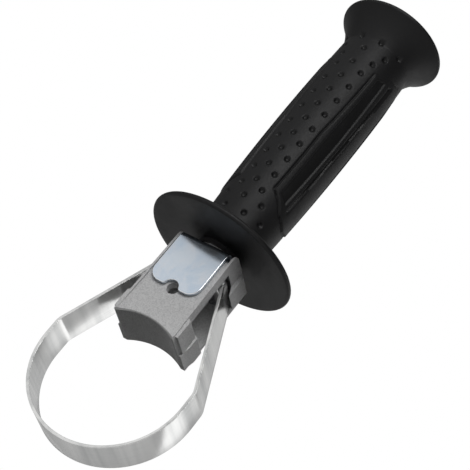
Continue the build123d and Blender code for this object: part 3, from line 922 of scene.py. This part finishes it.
def roundedCopy(node, name, edge):
    piece = nodes[node].copy()
    piece.data = nodes[node].data.copy()
    piece.name = name
    piece.parent = None
    del piece["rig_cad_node"]
    bpy.context.scene.collection.objects.link(piece)
    editMode(piece)
    bpy.ops.mesh.select_all(action="SELECT")
    bpy.ops.mesh.remove_doubles(threshold=weldDistance)
    bpy.ops.mesh.dissolve_limited(angle_limit=radians(copyAngles["flat"]))
    objectMode()
    piece.data.materials.clear()
    piece.data.materials.append(None)
    piece.data.materials.append(None)     # the second slot tells the rounded faces from the rest
    applyModifier(
        piece, "BEVEL", width=edge["round"], segments=edge["segments"],
        limit_method="ANGLE", angle_limit=radians(edge["sharp"]), loop_slide=False, material=1,
    )
    markWearAndHighlightEdges(piece)
    smoothByAngle(piece, copyAngles["smooth"])
    applyModifier(piece, "WEIGHTED_NORMAL", mode="FACE_AREA", weight=100, keep_sharp=True)
    return piece


# Marks the rounded faces of outer edges, which are shown bright as worn metal and as a painted highlight;
# those of inner corners stay dull
def markWearAndHighlightEdges(piece):
    mesh = piece.data
    besides = {}
    for face in mesh.polygons:
        for key in face.edge_keys:
            besides.setdefault(key, []).append(face)
    bulge = [0.0] * len(mesh.polygons)
    for pair in besides.values():
        turn = (pair[-1].normal - pair[0].normal).dot(pair[-1].center - pair[0].center)
        for face in pair:
            bulge[face.index] += turn
    # worn marks the edges that get wear and a painted highlight
    worn = mesh.attributes.new("worn", "FLOAT", "FACE").data
    for face in mesh.polygons:
        worn[face.index].value = float(face.material_index == 1 and bulge[face.index] > 0)
        face.material_index = 0


block = roundedCopy("saddle_block", "saddle_casting", castEdge)
dress(block, materials["casting"], "casting", "block", "saddle_block")
plate = roundedCopy("rod_clamp_plate", "rod_clamp", plateEdge)
dress(plate, materials["zinc"], "zinc_plate", "rod_clamp", "rod_clamp_plate")
print("casting and plate dressed")


# Solids that show as they are

shownSolids = {
    "fastener": ("band_pin_left", "band_pin_right", "draw_yoke", "draw_bolt",
                 "thrust_washer", "nut_washer", "core_nut"),
    "core": ("grip_core",),
}

for finish, names in shownSolids.items():
    for name in names:
        nodes[name].data.materials.clear()
        nodes[name].data.materials.append(materials[finish])
print("inner pieces finished")


# Floor, backdrop and lamps

stageSetup = {
    "floorHeight": -0.30,
    "floorSize": 6.0,
    "floorColour": (0.9, 0.9, 0.9),
    "floorRough": 0.9,
    "floorSeen": 0.5,                      # pale glow that only the camera sees
    "floorBounce": (0.03, 0.03, 0.03),     # what the floor gives back to matt surfaces
    "ambient": (0.03, 0.45),               # light from below and from above
    "ambientSpan": (-0.7, 0.7),
    "reflected": 0.16,                     # studio as metal and gloss see it, away from its bright parts
    "lampAim": (0.0, 0.0, 0.08),
}

# Bright parts of the studio: direction, where the edge starts and ends as a cosine, and gain
brightParts = {
    "frontLeft": ((-0.45, -0.80, 0.40), 0.45, 0.9, 0.32),
    "backLow": ((0.60, 0.78, -0.20), 0.80, 0.96, 0.62),
    "backRight": ((0.62, 0.78, 0.12), 0.88, 0.99, 0.5),
    "backLeftLow": ((-0.50, 0.75, -0.45), 0.6, 0.95, 0.38),
    "backHigh": ((-0.05, 0.75, 0.66), 0.75, 0.98, 0.42),
}

# Softboxes: place in metres, size in metres and power in watts
lamps = {
    "keySoftbox": ((0.3, -1.45, 0.75), (0.8, 0.8), 10.5),
    "leftSoftbox": ((-0.9, -1.2, 0.3), (0.8, 0.8), 0.7),
    "lowSoftbox": ((-1.0, -0.5, -0.5), (0.4, 0.4), 0.12),
}


def makeFloor():
    bpy.ops.object.select_all(action="DESELECT")
    bpy.ops.mesh.primitive_plane_add(
        size=stageSetup["floorSize"], location=(0, 0, stageSetup["floorHeight"])
    )
    floor = bpy.context.object
    floor.name = "studio_floor"
    material, tree, shader = startMaterial(
        "paleFloor", Roughness=stageSetup["floorRough"], Specular_IOR_Level=0.0
    )[:3]
    path = tree.nodes.new("ShaderNodeLightPath").outputs
    colour = blendColours(tree, path["Is Diffuse Ray"], stageSetup["floorColour"], stageSetup["floorBounce"])
    connect(tree, colour, shader, "Base Color")
    shader.inputs["Emission Color"].default_value = (1, 1, 1, 1)
    seen = calc(tree, "MULTIPLY", path["Is Camera Ray"], stageSetup["floorSeen"])
    connect(tree, seen, shader, "Emission Strength")
    floor.data.materials.append(material)


def makeWorld():
    world = bpy.data.worlds.new("studio")
    bpy.context.scene.world = world
    world.use_nodes = True
    tree = world.node_tree
    tree.nodes.clear()
    path = tree.nodes.new("ShaderNodeLightPath").outputs
    way = tree.nodes.new("ShaderNodeTexCoord").outputs["Generated"]
    glow = None
    for direction, start, full, gain in brightParts.values():
        toward = addNode(tree, "ShaderNodeVectorMath", {"operation": "DOT_PRODUCT"})
        tree.links.new(way, toward.inputs[0])
        toward.inputs[1].default_value = Vector(direction).normalized()
        part = between(tree, toward.outputs["Value"], (start, full), (0.0, gain))
        glow = calc(tree, "ADD", part, glow if glow else stageSetup["reflected"])
    seen = addNode(tree, "ShaderNodeBackground", Color=(1, 1, 1, 1), Strength=1.0)
    height = tree.nodes.new("ShaderNodeSeparateXYZ")
    tree.links.new(way, height.inputs[0])
    ambient = between(tree, height.outputs["Z"], stageSetup["ambientSpan"], stageSetup["ambient"])
    soft = addNode(tree, "ShaderNodeBackground", Color=(1, 1, 1, 1), Strength=ambient)
    studio = addNode(tree, "ShaderNodeBackground", Color=(1, 1, 1, 1), Strength=glow)
    mirrorLike = calc(tree, "MAXIMUM", path["Is Glossy Ray"], path["Is Transmission Ray"])
    first = tree.nodes.new("ShaderNodeMixShader")
    tree.links.new(mirrorLike, first.inputs[0])
    tree.links.new(soft.outputs[0], first.inputs[1])
    tree.links.new(studio.outputs[0], first.inputs[2])
    second = tree.nodes.new("ShaderNodeMixShader")
    tree.links.new(path["Is Camera Ray"], second.inputs[0])
    tree.links.new(first.outputs[0], second.inputs[1])
    tree.links.new(seen.outputs[0], second.inputs[2])
    tree.links.new(second.outputs[0], tree.nodes.new("ShaderNodeOutputWorld").inputs[0])


def makeLamp(name, place, size, energy):
    data = bpy.data.lights.new(name, "AREA")
    data.shape = "RECTANGLE"
    data.size, data.size_y = size
    data.energy = energy
    lamp = bpy.data.objects.new(name, data)
    bpy.context.scene.collection.objects.link(lamp)
    lamp.location = place
    aim = Vector(stageSetup["lampAim"]) - Vector(place)
    lamp.rotation_euler = aim.to_track_quat("-Z", "Y").to_euler()


makeFloor()
makeWorld()
for name, (place, size, energy) in lamps.items():
    makeLamp(name, place, size, energy)
bpy.context.scene.view_settings.view_transform = "Standard"
print("stage lit")
